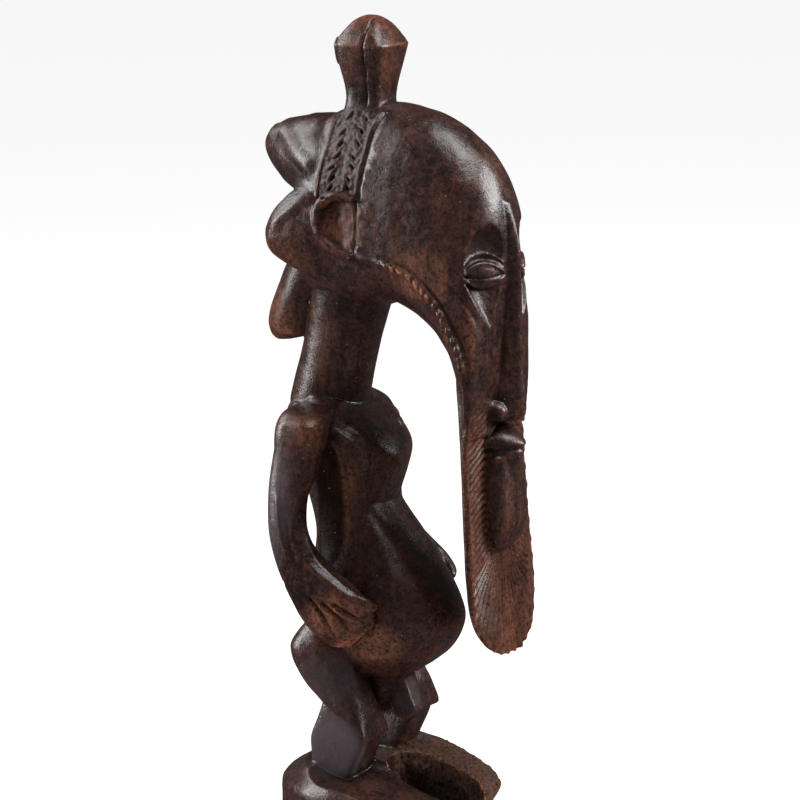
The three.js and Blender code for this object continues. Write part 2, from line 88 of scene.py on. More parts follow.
def between(stations, t):
    """The values of a row of stations at t from 0 to 1, on a smooth curve through all of them."""
    last = len(stations) - 1
    whole = min(int(t * last), last - 1)
    u = t * last - whole
    near = [stations[min(max(whole + k, 0), last)] for k in (-1, 0, 1, 2)]
    values = []
    for a, b, c, d in zip(*near):
        leaving, arriving = (c - a) / 2, (d - b) / 2
        cubic, square = 2 * (b - c) + leaving + arriving, 3 * (c - b) - 2 * leaving - arriving
        values.append(((cubic * u + square) * u + leaving) * u + b)
    return values


def stacked(stations):
    """Level loops. A station: up, forward, left, half-width, front, back, squareness, squareness behind."""

    def loop(t):
        up, forward, left, wide, front, back, square, *behind = between(stations, t)
        return place(left, forward, up), ACROSS, FORWARD, wide, front, back, square, *(behind or [square])

    return loop


def carve(target, loop, around=48, along=32, turn=None):
    """A closed form over the loops, put into the target mesh."""
    loops = [loop(min(max((k - 1) / (along - 2), 0), 1)) for k in range(along + 1)]
    form = bmesh.new()
    bmesh.ops.create_uvsphere(form, u_segments=around, v_segments=along, radius=1)
    for vert in form.verts:
        k = round(math.acos(min(max(vert.co.z, -1), 1)) / math.pi * along)
        middle, across, outward, wide, front, back, square, square_behind = loops[k]
        if k in (0, along):
            vert.co = middle
            continue
        angle = math.atan2(vert.co.y, vert.co.x)
        c, s = math.cos(angle), math.sin(angle)
        power = 2 / (square if s > 0 else square_behind)
        sideways = wide * math.copysign(abs(c) ** power, c)
        out = (front if s > 0 else back) * math.copysign(abs(s) ** power, s)
        vert.co = middle + across * sideways + outward * out
    if turn:
        form.transform(turn)
    form_mesh = bpy.data.meshes.new("form")
    form.to_mesh(form_mesh)
    form.free()
    target.from_mesh(form_mesh)
    bpy.data.meshes.remove(form_mesh)


carve(
    block,
    stacked(
        [
            (up, 0, 0, PLINTH_RADIUS - inset, PLINTH_RADIUS - inset, PLINTH_RADIUS - inset, 2)
            for up, inset in PLINTH_SIDE
        ]
    ),
    around=96,
    along=16,
)

# Feet. They are cut out of the same drum as the plinth, flush with its side. Their tops fall to
# the heels and toes, the right one is cut lower, a deep notch parts them, and short cuts part the
# toes.
ANKLE_HEIGHT = 37
TOE_ANGLES = (0.36, 0.56, 0.76)
SIDES = (-1, 1)


def limb(stations):
    """Loops along a path. A station: left, forward, up, half-width, half-thickness, squareness, behind."""

    def loop(t):
        left, forward, up, wide, thick, square, *behind = between(stations, t)
        ahead, back = between(stations, min(t + 0.01, 1)), between(stations, max(t - 0.01, 0))
        along = (place(*ahead[:3]) - place(*back[:3])).normalized()
        across = (ACROSS - along * along.x).normalized()
        outward = across.cross(along)
        return place(left, forward, up), across, outward, wide, thick, thick, square, *(behind or [square])

    return loop


def cut(forms, cutters):
    """The forms less the cutters, both as meshes that are used up, put into the block."""
    objects = []
    for made in (forms, cutters):
        bmesh.ops.recalc_face_normals(made, faces=made.faces)
        mesh = bpy.data.meshes.new("cutting")
        made.to_mesh(mesh)
        made.free()
        objects.append(bpy.data.objects.new("cutting", mesh))
        bpy.context.collection.objects.link(objects[-1])
    boolean = objects[0].modifiers.new("cut", "BOOLEAN")
    boolean.operation = "DIFFERENCE"
    boolean.object = objects[1]
    boolean.solver = "EXACT"
    boolean.use_self = True
    evaluated = objects[0].evaluated_get(bpy.context.evaluated_depsgraph_get())
    block.from_mesh(evaluated.to_mesh())
    for one in objects:
        bpy.data.meshes.remove(one.data)


drum = bmesh.new()
carve(
    drum,
    stacked(
        [
            (PLINTH_HEIGHT - 3, -0.6, 0, 52.2, 51.2, 52.2, 2),
            (20, -1, 0, 52.2, 51, 52, 2),
            (28, -2, 0, 51.8, 48, 50, 2),
            (34, -7, 0, 48, 37.5, 36, 2),
            (ANKLE_HEIGHT + 1, -12, 0, 41.5, 24, 26, 2),
        ]
    ),
    around=96,
    along=24,
)
hollows = bmesh.new()
carve(
    hollows,
    stacked(
        [
            (PLINTH_HEIGHT, 32, 0, 8, 30, 24, 3),
            (24, 30, 0, 11, 32, 28, 3),
            (45, 30, 0, 14, 32, 30, 3),
        ]
    ),
    along=16,
)
slope = [
    (-40, -26, 50, 15, 9, 3),
    (-38, -12, 43.5, 18, 9.5, 3),
    (-33, 4, 41, 22, 9.5, 3),
    (-29, 20, 37.5, 24, 9.5, 3),
    (-26, 38, 33, 25, 9.5, 3),
    (-24, 62, 26, 26, 9.5, 3),
]
carve(hollows, limb(slope))
for side in SIDES:
    for angle in TOE_ANGLES:
        toe = Vector((math.sin(angle) * side, -math.cos(angle), 0))
        near, far = toe * (PLINTH_RADIUS - 6), toe * (PLINTH_RADIUS + 4)
        up = PLINTH_HEIGHT + 8
        carve(
            hollows,
            limb([(near.x, -near.y, up, 0.5, 3, 2), (far.x, -far.y, up - 1, 1.2, 6, 2)]),
            around=12,
            along=8,
        )
cut(drum, hollows)

# Insteps. Each is a low rounded form in the same wood that rises over the drum from the ankle to
# the toes, the right one lower than the left.
for side in SIDES:
    high = 1 if side > 0 else -4
    instep = [
        (side * 20, -14, 31 + high, 13, 8, 2.6),
        (side * 22, 4, 29 + high, 13.5, 8, 2.6),
        (side * 27, 20, 25.5 + high, 14.5, 8, 2.6),
        (side * 32, 33, 19 + high, 12.5, 7, 2.4),
        (side * 35, 39, 14 + high / 2, 8, 5, 2.2),
    ]
    carve(block, limb(instep))

# Legs. Each is bent hard at the knee: a flat-sided thigh runs forward and down to a square cut
# knee, and a short faceted shin goes back to the ankle. The left knee was left a little higher.
KNEE_SPACING = 47
ANKLE_SPACING = 39


def bowed(stations):
    """Loops that are level from side to side. A station: outer forward, up, inner forward, up, half-width,
    how far from the inner side the form is widest, from 0 to 1, squareness outside, inside, and left."""

    def loop(t):
        values = between(stations, t)
        outer_forward, outer_up, inner_forward, inner_up, wide, share, outside, inside, *left = values
        left = left[0] if left else 0
        outer, inner = place(left, outer_forward, outer_up), place(left, inner_forward, inner_up)
        deep = (outer - inner).length
        outward = (outer - inner).normalized()
        middle = inner.lerp(outer, share)
        return middle, ACROSS, outward, wide, deep * (1 - share), deep * share, outside, inside

    return loop


for side in SIDES:
    knee, ankle = side * KNEE_SPACING / 2, side * ANKLE_SPACING / 2
    lift = 3 if side > 0 else 0
    thigh = [
        (-19, 113, -31, 108, 9, 0.5, 2.2, 2.6, knee * 0.95),
        (-11, 102, -37, 97, 13, 0.5, 2.3, 3, knee * 1.06),
        (-3, 87, -30, 85, 13.8, 0.42, 2.4, 4, knee * 1.06),
        (1.5, 76, -19.5, 75, 13, 0.36, 2.6, 5, knee * 1.04),
        (4.5, 68 + lift, -8.5, 66.5 + lift, 12, 0.34, 3, 6, knee * 1.01),
        (6, 61.5 + lift, 2, 60 + lift, 11.5, 0.4, 4, 6, knee),
        (7.2, 57 + lift, 7.6, 54.4 + lift, 11.2, 0.5, 6, 6, knee),
    ]
    shin = [
        (-2, 72 + lift, -20, 70 + lift, 8.8, 0.5, 5, 5, knee),
        (3.5, 60 + lift, -22.5, 62 + lift, 9.3, 0.5, 6, 6, knee),
        (5.5, 54 + lift, -26.5, 52, 9.6, 0.5, 7, 7, knee * 0.98),
        (0.5, 43, -27.5, 43, 10.4, 0.5, 7, 7, ankle * 1.04),
        (-4.5, 31, -26.5, 31, 11, 0.5, 7, 7, ankle),
    ]
    carve(block, bowed(thigh), around=64, along=48)
    carve(block, bowed(shin), around=64, along=32)

# Loins. A wedge with flat sides hangs before a rounder form that fills the space between the
# legs. Both are left standing in the block as the legs are cut free.
loins = [
    (58.8, 8.5, 1, 4, 2.5, 3, 5),
    (61, 8.5, 1, 5, 5.5, 4.5, 6),
    (64.5, 8.5, 1, 5.6, 8.5, 5.5, 7),
    (70, 6.5, 1, 6, 8.5, 6, 7),
    (79, 3, 1, 6.5, 8.5, 6, 6),
    (86, 2, 1, 7, 7, 8, 6),
]
carve(block, stacked(loins))
carve(block, limb([(0, 0, 90, 14, 12, 2.2), (0, -4, 76, 12, 11, 2.2), (0, -6, 66, 7, 6, 2.2)]))

# Trunk. It is narrow at the chest and swells to an egg of a belly that leans over the knees. The
# chest stands out as a block with a sharp ridge across it.
carve(
    block,
    stacked(
        [
            (80, -4, 0, 12, 14, 12, 2),
            (85.5, -6, 0, 22, 25, 20, 2),
            (96, -6, 0, 28.5, 38, 27, 2.1),
            (109, -5, 0, 31, 43.5, 31, 2.15),
            (119, -5.3, 0, 29.8, 41, 31, 2.35),
            (131, -6.5, 0, 26.5, 34, 30.5, 2.8),
            (150, -10, 0, 20.5, 23.2, 25, 3.6),
            (167, -16, 0, 18.5, 15.5, 24, 3.6),
            (190, -24, 0, 22, 16, 23, 2.6),
            (207, -30, 0, 26, 14, 21, 2.6),
            (214, -33, 0, 22, 12, 16, 2.4),
        ]
    ),
    around=64,
    along=48,
)
carve(
    block,
    stacked(
        [
            (156, -10, 0, 14, 4, 10, 2.6, 2),
            (166, -9, 0, 16, 8.5, 12, 2.3, 2),
            (179, -8, 0, 18, 12, 14, 2.2, 2),
            (188, -7.3, 0, 19.5, 14, 16, 2.2, 2),
            (193, -8.3, 0, 20.5, 13.8, 16, 2.2, 2),
            (200, -12.5, 0, 23, 12.5, 16, 2.3, 2),
            (207, -18, 0, 27, 10.5, 15, 2.5, 2.2),
            (212, -23, 0, 28, 9.5, 14, 2.6, 2.4),
            (217.5, -30, 0, 20, 11, 8, 2.4, 2.4),
        ]
    ),
    along=64,
)
ribs = [
    (157, -14, 0, 17, 8, 10, 5, 2),
    (168, -13, 0, 19, 9, 12, 5, 2),
    (180, -11.5, 0, 21.3, 11, 14, 4.5, 2),
    (190, -10, 0, 23.2, 11, 16, 4.5, 2),
    (197, -12.5, 0, 25.2, 10, 16, 4.5, 2),
    (204, -17, 0, 27.5, 8, 15, 4, 2),
    (210, -22, 0, 28, 6, 12, 3, 2),
]
carve(block, stacked(ribs), along=48)

# Shoulders, arms and hands. Flat-topped shoulders carry arms that hang behind the trunk and end
# in broad flat hands on the hips. The fingers fan down and forward, and the thumb lies on top.
# The left shoulder was cut lower and further back.
for side in SIDES:
    drop, back = (8, 5) if side > 0 else (0, 0)
    shoulder = [
        (168 - drop, -30 - back, side * 39, 5, 5, 6, 2.4),
        (184 - drop, -28.5 - back, side * 38.4, 8.4, 9.6, 10, 2.8),
        (198 - drop, -27.2 - back, side * 37, 10, 12, 11.6, 3),
        (206 - drop, -26.8 - back, side * 35.2, 11.2, 12.6, 12, 3),
        (210.5 - drop, -27 - back, side * 32.6, 11.6, 12, 11.4, 2.8),
        (213.6 - drop, -28 - back, side * 27.5, 12, 9.5, 9.6, 2.5),
        (215.4 - drop, -29 - back, side * 22, 9, 6, 6, 2.2),
    ]
    carve(block, stacked(shoulder))
    arm = [
        (side * 37.6, -27.6 - back, 203 - drop, 6.5, 8.5, 3),
        (side * 38.3, -28.4 - back, 194 - drop, 8.2, 10.4, 3),
        (side * 39, -31 - back * 0.8, 182, 8.8, 9.6, 2.8),
        (side * 40, -32.4 - back * 0.5, 168, 9, 8.4, 2.8),
        (side * 41, -31, 154, 9, 8.6, 2.6),
        (side * 41.4, -25.5, 142, 8.6, 10.5, 2.6),
        (side * 40.5, -16.5, 130, 7, 14.5, 2.8),
        (side * 38.5, -7, 119.5, 6, 17, 3),
        (side * 35, 1.5, 111, 4.2, 15, 2.6),
        (side * 32.5, 4.8, 107.3, 2.2, 9, 2.2),
    ]
    carve(block, limb(arm), along=64)
    thumb = [
        (side * 41, -25.5, 163, 2, 2.6, 1.8),
        (side * 43.4, -21.5, 152, 3.4, 4.2, 1.7),
        (side * 44.4, -15, 142, 3.6, 4.4, 1.7),
        (side * 44.2, -6, 135.2, 3.4, 4.2, 1.7),
        (side * 42.6, 3, 129.5, 3.2, 3.8, 1.8),
        (side * 39, 11, 124.8, 2.8, 3.2, 2),
        (side * 35, 14.5, 122.6, 1.4, 1.6, 2),
    ]
    carve(block, limb(thumb), around=24, along=48)

# Neck. A tall round column that leans forward from the shoulders into the head. It is left thick
# in the block, because the whole head hangs from it.
carve(
    block,
    stacked(
        [
            (206, -34, 0, 17, 17, 17, 2),
            (214, -34, 0, 19.3, 19.3, 19.3, 2),
            (240, -27.5, 0, 18.7, 18.7, 18.7, 2),
            (262, -22, 0, 20, 20, 20, 2),
            (275, -19, 0, 22, 24, 20, 2),
        ]
    ),
)

# Head. It arches from the nape over the brow like a hood and hangs down as a long face. The
# face is the carver's own: two shield-shaped hollows with shut eyes, a straight nose, small lips
# and a long chin, laid out in tenths of its length.
HEAD_HALF_WIDTH = 30
BROW_UP = 310
CHIN_UP = 150
TENTH = (BROW_UP - CHIN_UP) / 10
EYE_UP = BROW_UP - 1.5 * TENTH
NOSE_UP = BROW_UP - 5.75 * TENTH
MOUTH_UP = BROW_UP - 6.75 * TENTH
EYE_ASIDE, EYE_FORWARD = 15.5, 60
EYE_TURN = 0.65  # radians that each eye faces outwards

hood = bmesh.new()
carve(
    hood,
    bowed(
        [
            (-44, 326, -46, 292, 15, 0.5, 2.2, 2.2),
            (-37, 346, -40, 268, 23, 0.45, 2.2, 2.2),
            (-18, 357.5, -25, 260, 28, 0.4, 2.1, 2.2),
            (5, 360, -3, 262, HEAD_HALF_WIDTH, 0.34, 2.15, 2.2),
            (28, 356, 8, 265, HEAD_HALF_WIDTH + 0.5, 0.32, 2.2, 2.2),
            (44, 347.5, 16, 263.5, HEAD_HALF_WIDTH + 0.5, 0.32, 2.2, 2.2),
            (56, 336.5, 23, 260.5, HEAD_HALF_WIDTH + 0.5, 0.32, 2.2, 2.2),
            (63.5, 322, 30, 256.5, HEAD_HALF_WIDTH, 0.32, 2.2, 2.2),
            (66.8, 306, 36, 251.5, 29.5, 0.34, 2.2, 2.2),
            (67, 288, 41, 245.5, 29, 0.38, 2.3, 2.2),
            (66, 270, 45.5, 239, 28.5, 0.42, 2.5, 2.3),
            (65, 252, 49, 231, 28, 0.46, 2.9, 2.3),
            (64, 232, 51.5, 222, 27.5, 0.5, 3.6, 2.3),
            (61, 208, 53, 205, 27, 0.55, 5, 2.3),
        ]
    ),
    around=80,
    along=80,
)
sockets = bmesh.new()
for side in SIDES:
    carve(
        sockets,
        stacked(
            [
                (EYE_UP - 26, 0, 0, 0.6, 5, 2, 2),
                (EYE_UP - 17, 0, 0, 6.5, 5, 3.6, 2),
                (EYE_UP - 5, 0, 0, 12.5, 5, 5.6, 2),
                (EYE_UP + 8, 0, 0, 13.5, 5, 6, 2),
                (EYE_UP + 17, 0, 0, 10.5, 5, 5.5, 2),
                (EYE_UP + 22.5, 0, 0, 3, 5, 3, 2),
            ]
        ),
        turn=Matrix.Translation(place(side * 16, 66, 0)) @ Matrix.Rotation(side * EYE_TURN, 4, "Z"),
    )
cut(hood, sockets)


def egg(target, middle, sizes, turn=0):
    """An egg from its middle and half sizes, turned round the upright axis."""
    form = bmesh.ops.create_uvsphere(target, u_segments=32, v_segments=20, radius=1)["verts"]
    shape = Matrix.Translation(middle) @ Matrix.Rotation(turn, 4, "Z") @ Matrix.Diagonal((*sizes, 1))
    bmesh.ops.transform(target, matrix=shape, verts=form)


for side in SIDES:
    egg(block, place(side * EYE_ASIDE, EYE_FORWARD, EYE_UP - 1), (12, 4.8, 7), side * EYE_TURN)
    egg(block, place(side * 8, 64, NOSE_UP + 1), (4.2, 5.5, 4.8))
carve(
    block,
    stacked(
        [
            (NOSE_UP - 4, 58, 0, 8, 13, 2, 2.2),
            (NOSE_UP, 59, 0, 9, 15.5, 2, 2),
            (NOSE_UP + 7, 60, 0, 7.5, 15, 2, 1.8),
            (NOSE_UP + 24, 61, 0, 5.2, 12.5, 2, 1.8),
            (EYE_UP - 14, 61, 0, 4.4, 11.8, 2, 1.8),
            (EYE_UP + 12, 61, 0, 5, 10.5, 2, 1.8),
            (BROW_UP + 8, 58, 0, 7, 8, 2, 2),
        ]
    ),
    along=48,
)
upper_lip = [
    (MOUTH_UP - 0.2, 58, 0, 11, 15.5, 2, 1.7),
    (MOUTH_UP + 1.5, 58, 0, 12, 17, 2, 1.7),
    (MOUTH_UP + 5, 58, 0, 10.5, 13.5, 2, 1.9),
    (MOUTH_UP + 9, 58, 0, 6, 8, 2, 2),
]
lower_lip = [
    (MOUTH_UP - 11, 58, 0, 8, 9, 2, 2),
    (MOUTH_UP - 7, 58, 0, 10, 13.5, 2, 1.9),
    (MOUTH_UP - 3, 58, 0, 11, 16, 2, 1.7),
    (MOUTH_UP - 1.2, 58, 0, 10, 15, 2, 1.7),
]
carve(block, stacked(upper_lip))
carve(block, stacked(lower_lip))
chin = [
    (69, CHIN_UP + 48, 55, CHIN_UP + 46, 11, 0.5, 3.4, 3.4),
    (71, CHIN_UP + 32, 55, CHIN_UP + 32, 12.5, 0.5, 3.4, 3.4),
    (72, CHIN_UP + 16, 57, CHIN_UP + 14, 13, 0.5, 3.4, 3.4),
    (69, CHIN_UP + 6, 59, CHIN_UP + 6, 11.5, 0.5, 3.4, 3.4),
    (63, CHIN_UP, 60, CHIN_UP + 1, 8, 0.5, 3, 3),
]
carve(block, bowed(chin), along=48)

# Beard. A broad blade, flat in front and rounded behind, with thin edges and its tip a little to
# the left.
BEARD_HALF_WIDTH = 30
BEARD = [
    (250, 52, 0, 20, 4, 5, 3, 2.2),
    (240, 53.2, 0, 24.5, 4.5, 5, 3.4, 2.2),
    (228, 54.5, 0, 26.4, 5, 5, 4, 2.2),
    (200, 57.5, 0, 27.5, 2, 5.5, 6, 2.2),
    (172, 59, 0.5, 28.5, 1.7, 5.5, 8, 2.2),
    (136, 61.3, 1.2, BEARD_HALF_WIDTH, 1.7, 4.5, 8, 2.2),
    (118, 63, 2, BEARD_HALF_WIDTH - 2.5, 1.7, 4, 8, 2.2),
    (107, 64.3, 3.5, 20.5, 1.7, 3.2, 8, 2.2),
    (101, 65, 5, 11, 1.6, 2.4, 6, 2.2),
    (99.6, 65.2, 6, 4, 1.2, 1.2, 4, 2.2),
]
carve(block, stacked(BEARD), around=96, along=64)

# Ears and jaw. Each ear is a rim bent like the letter C, open to the front, and a ridge runs
# from it along the jaw to the edge of the beard.
for side in SIDES:
    ear = [
        (side * 30, -1, 316.5, 2, 1.4, 2.2),
        (side * 30.5, -10.5, 318, 2.4, 2, 2.2),
        (side * 30.5, -19.5, 313, 2.6, 2.4, 2.2),
        (side * 30.5, -21, 305, 2.6, 2.4, 2.2),
        (side * 30.5, -18, 297, 2.6, 2.4, 2.2),
        (side * 30.3, -10, 291.5, 2.4, 2.2, 2.2),
        (side * 30, -1.5, 289.5, 2, 1.8, 2.2),
    ]
    carve(block, limb(ear), around=24, along=64)
    jaw = [
        (side * 29.3, -3, 290, 1.4, 1.4, 2),
        (side * 29.3, 11.5, 288.5, 1.6, 1.6, 2),
        (side * 29.5, 21, 286, 1.7, 1.7, 2),
        (side * 29.3, 31, 282, 1.7, 1.7, 2),
        (side * 28.8, 42.5, 271, 1.7, 1.7, 2),
        (side * 28, 50.5, 258.5, 1.7, 1.7, 2),
        (side * 27.5, 55.5, 247, 1.6, 1.6, 2),
        (side * 27, 58, 232, 1.4, 1.4, 2),
        (side * 27, 58.5, 215, 1.2, 1.2, 2),
    ]
    carve(block, limb(jaw), around=20, along=80)

# Hair. It is drawn into four smooth lobes that make a cross at the back of the head, each with a
# soft ridge along it.
upper_lobe = [
    (0, -18, 322, 27, 29, 2),
    (0, -34, 329.5, 23, 24, 1.85),
    (0, -50, 333.5, 16.5, 18, 1.8),
    (0, -61.5, 337.5, 10, 11.5, 1.8),
    (0, -66.5, 340, 5, 6, 2),
]
lower_lobe = [
    (0, -34, 288, 18, 15, 2.2),
    (0, -42, 272, 17, 15.5, 1.9),
    (0, -48.5, 260, 16, 15, 1.8),
    (0, -53, 250, 14.5, 14, 1.9),
    (0, -54.5, 245, 12, 12.4, 2),
    (0, -54, 241.5, 7, 7.5, 2),
]
carve(block, limb(upper_lobe))
carve(block, limb(lower_lobe))
for side in SIDES:
    wing = [
        (side * 9, -8, 296, 20, 22, 2.2),
        (side * 14, -20, 297.5, 18, 24.5, 2),
        (side * 19.5, -32, 298, 15.5, 22.5, 1.8),
        (side * 24, -41, 296.5, 11.5, 17, 1.75),
        (side * 27, -48, 295, 7, 10, 1.8),
        (side * 28, -51, 294.5, 3.5, 5, 2),
    ]
    carve(block, limb(wing))

# Finial. A square peg with its corners taken off stands on the headband, wider at the top, under
# a low dome.
HEIGHT = 400
FINIAL_FORWARD = -10
FINIAL = (  # heights, half-widths and squareness
    (350, 13, 4),
    (362, 10.2, 4),
    (384, 14.2, 4.4),
    (388, 14, 4.4),
    (396, 9, 3.4),
    (399.6, 4, 3),
    (HEIGHT, 1, 2),
)
finial = [(up, FINIAL_FORWARD, 0, half, half, half, square) for up, half, square in FINIAL]
carve(block, stacked(finial), along=64)

# The block. One skin goes over all the forms, because they are one piece of hardwood, and its
# corners are worn round.
SKIN_PITCH = 0.62
WORN_ROUNDS = 4
piece_mesh = bpy.data.meshes.new("ancestor_figure")
block.to_mesh(piece_mesh)
block.free()
figure = bpy.data.objects.new("ancestor_figure", piece_mesh)
bpy.context.collection.objects.link(figure)


def finished(name, kind, **settings):
    """Puts one modifier on the figure, and gives the figure the mesh that it makes."""
    modifier = figure.modifiers.new(name, kind)
    for key, value in settings.items():
        setattr(modifier, key, value)
    evaluated = figure.evaluated_get(bpy.context.evaluated_depsgraph_get())
    figure.data = bpy.data.meshes.new_from_object(evaluated)
    figure.modifiers.clear()


finished("skin", "REMESH", mode="VOXEL", voxel_size=SKIN_PITCH, use_smooth_shade=True)
finished("worn_round", "SMOOTH", factor=0.5, iterations=WORN_ROUNDS)

# Carved detail. The carver cuts hair, beard, band and ears into the block with a knife, and knife
# and adze leave the whole skin a little uneven. Each cut or ridge is a push of the skin along its
# own normal, in millimetres.
KNIFE_MARK_SIZES = (7, 7, 13)
KNIFE_MARK_DEPTH = 0.28


def points_and_normals(mesh):
    points = np.empty(len(mesh.vertices) * 3)
    mesh.vertices.foreach_get("co", points)
    normals = np.empty(len(points))
    mesh.vertex_normals.foreach_get("vector", normals)
    return points.reshape(-1, 3), normals.reshape(-1, 3)


def uneven(size, seed, which=slice(None)):
    """Noise from -1 to 1 over all or some of the skin, in lumps of this size in millimetres."""
    return np.array([noise.noise(point) for point in (skin[which] / size + seed).tolist()])


skin, outward = points_and_normals(figure.data)
left, forward, up = skin[:, 0].copy(), -skin[:, 1], skin[:, 2].copy()
push = np.zeros(len(skin))
push += KNIFE_MARK_DEPTH * uneven(KNIFE_MARK_SIZES, 3.1)

# Headband. It crosses the crown from ear to ear between two thin welts, left standing when the
# wood beside them was cut down. Slanting wedge cuts in two rows fill it.
EAR_TOP = 316
WELT_HEIGHT, WELT_HALF_WIDTH = 0.75, 1.2
BESIDE_WELT_DEPTH = 0.6
CROWN_RADIUS = 36
BAND_CUTS = 9
BAND_CUT_PITCH, BAND_FIRST_CUT = 6.2, 12
BAND_ROW_OFF_MIDDLE = 4.9
BAND_CUT_DEPTH, BAND_CUT_HALF_LENGTH = 1.5, 3.1
BAND_CUT_RIM = 0.35
BAND_CUT_STRAYS = 1.6
BAND_SLANT, BAND_SLANT_STRAYS = 0.5, 0.4


def ramp(value, low, high):
    """A soft step from 0 at low to 1 at high."""
    t = np.clip((value - low) / (high - low), 0, 1)
    return t * t * (3 - 2 * t)


def bump(distance, half_width):
    """A rounded ridge: 1 on the line and 0 at its half-width."""
    return ramp(-np.abs(distance), -half_width, 0)


band_front = np.interp(up, (321, 335, 349, 362), (-0.8, 0.8, 1.9, 4.7))
band_rear = np.interp(up, (320, 338, 356), (-23.5, -21.5, -21.5))
on_band = (up > EAR_TOP) & (forward > band_rear - 3) & (forward < band_front + 3) & (np.abs(left) > 11)
on_band &= outward[:, 0] * np.sign(left) > -0.1
welts = [bump(forward - edge, WELT_HALF_WIDTH) for edge in (band_front, band_rear)]
within = ramp(forward, band_rear - 0.5, band_rear + 0.5)
within *= ramp(-forward, -band_front - 0.5, -band_front + 0.5)
band = WELT_HEIGHT * np.maximum(*welts) + 0.15 * within
push[on_band] += (band - BESIDE_WELT_DEPTH * bump(forward - band_front - 1.9, 1))[on_band]
along_band = np.arctan2(np.abs(left), up - EAR_TOP) * CROWN_RADIUS
across_band = forward - (band_front + band_rear) / 2
for row in (-1, 1):
    for n in range(BAND_CUTS):
        jitter = noise.cell_vector((row * 7.3, n * 3.7, 0.5))
        middle = BAND_FIRST_CUT + n * BAND_CUT_PITCH + jitter.x * BAND_CUT_STRAYS
        aside = row * BAND_ROW_OFF_MIDDLE + jitter.y * BAND_CUT_STRAYS
        slant = row * (BAND_SLANT + BAND_SLANT_STRAYS * jitter.z)
        a, b = along_band - middle, across_band - aside
        lengthwise = a * math.cos(slant) + b * math.sin(slant)
        sideways = b * math.cos(slant) - a * math.sin(slant)
        wedge = bump(lengthwise, BAND_CUT_HALF_LENGTH) * bump(sideways, 1 + 0.12 * lengthwise)
        rim = bump(lengthwise, BAND_CUT_HALF_LENGTH + 0.5) * bump(np.abs(sideways) - 1.5, 0.9)
        push[on_band] += (BAND_CUT_RIM * rim - BAND_CUT_DEPTH * wedge)[on_band]

# Ear bowls. The ears are hollowed with a gouge inside their rims, and a straight knife cut parts
# each from the cheek.
EAR_FORWARD, EAR_UP = -8, 304
EAR_HALF_LENGTH, EAR_HALF_HEIGHT = 11, 12.5
EAR_BOWL_DEPTH, EAR_CUT_DEPTH = 0.9, 1.1
for side in SIDES:
    at_ear = (left * side > 24) & (np.abs(up - EAR_UP) < 20) & (forward < 3) & (forward > -26)
    from_middle = np.hypot((forward - EAR_FORWARD) / EAR_HALF_LENGTH, (up - EAR_UP) / EAR_HALF_HEIGHT)
    bowl = (1 - ramp(from_middle, 0.35, 1)) * ramp(-forward, -0.5, 2.5)
    cut_in_front = bump(forward + 0.6, 1) * ramp(up, 290, 296) * ramp(-up, -321, -316)
    push[at_ear] -= (EAR_BOWL_DEPTH * bowl + EAR_CUT_DEPTH * cut_in_front)[at_ear]
    push[at_ear] += 0.3 * uneven(3.2, 6.1, at_ear)

# Jaw line. The ridge of the jaw is nicked with a knife, like a cord, down to the beard. A groove
# lies above it and a finer line above that.
JAW_LINE = ((9, 289), (21, 286.3), (31, 282.4), (42.6, 271.4), (50.4, 259), (55.6, 248.4), (57.4, 236))
JAW_RIDGE_HEIGHT, JAW_GROOVE_DEPTH = 1.4, 0.8
JAW_NICK_PITCH = 4.6
SECOND_LINE = ((24.7, 295), (35.6, 290.5), (43.5, 284), (54, 275), (60.5, 264), (62.9, 251.7), (63.4, 236))
SECOND_LINE_HEIGHT, SECOND_GROOVE_DEPTH = 0.4, 0.35


def curve(points, steps=12):
    """More points on the smooth curve through these."""
    count = (len(points) - 1) * steps
    return [between(points, k / count) for k in range(count + 1)]


def near_line(side, points, reach):
    """The skin within reach of a line seen from one side, whose points are forward and up: which points,
    how far from the line, how far along it, how far below it, and the length of the line."""
    line = np.array(curve(points))
    which = np.flatnonzero((left * side > 3) & (outward[:, 0] * side > 0.2))
    spots = np.stack((forward[which], up[which]), axis=1)
    near = np.all((spots > line.min(0) - reach) & (spots < line.max(0) + reach), axis=1)
    which, spots = which[near], spots[near]
    best, along, below = np.full(len(which), 1e9), np.zeros(len(which)), np.zeros(len(which))
    start = 0
    for a, b in zip(line[:-1], line[1:]):
        span = b - a
        length = np.linalg.norm(span)
        share = np.clip((spots - a) @ span / length**2, 0, 1)
        offset = spots - (a + share[:, None] * span)
        distance = np.linalg.norm(offset, axis=1)
        closer = distance < best
        best[closer] = distance[closer]
        along[closer] = (start + share * length)[closer]
        below[closer] = ((offset[:, 0] * span[1] - offset[:, 1] * span[0]) / length)[closer]
        start += length
    near = best < reach
    return which[near], best[near], along[near], below[near], start


for side in SIDES:
    which, distance, along, below, length = near_line(side, JAW_LINE, 6)
    wavy = along + 2.5 * uneven(9, 2.2, which)
    nick = ramp(np.sin(2 * np.pi * (wavy - below * 1.1) / JAW_NICK_PITCH), -0.1, 0.9)
    starts = ramp(along, 0, 10) * ramp(-along, -length, -length + 8)
    crest = bump(distance + 0.6 * uneven(3, 7.7, which), 2.3)
    ridge = JAW_RIDGE_HEIGHT * crest * (1 - 0.6 * nick * ramp(-along, -82, -55))
    push[which] += (ridge - JAW_GROOVE_DEPTH * bump(below + 3, 1.6)) * starts
    which, distance, along, below, length = near_line(side, SECOND_LINE, 4)
    fade = ramp(along, 0, 12) * ramp(-along, -length, -length + 10)
    line = SECOND_LINE_HEIGHT * bump(distance, 1.3) - SECOND_GROOVE_DEPTH * bump(below + 1.8, 1.2)
    push[which] += line * fade

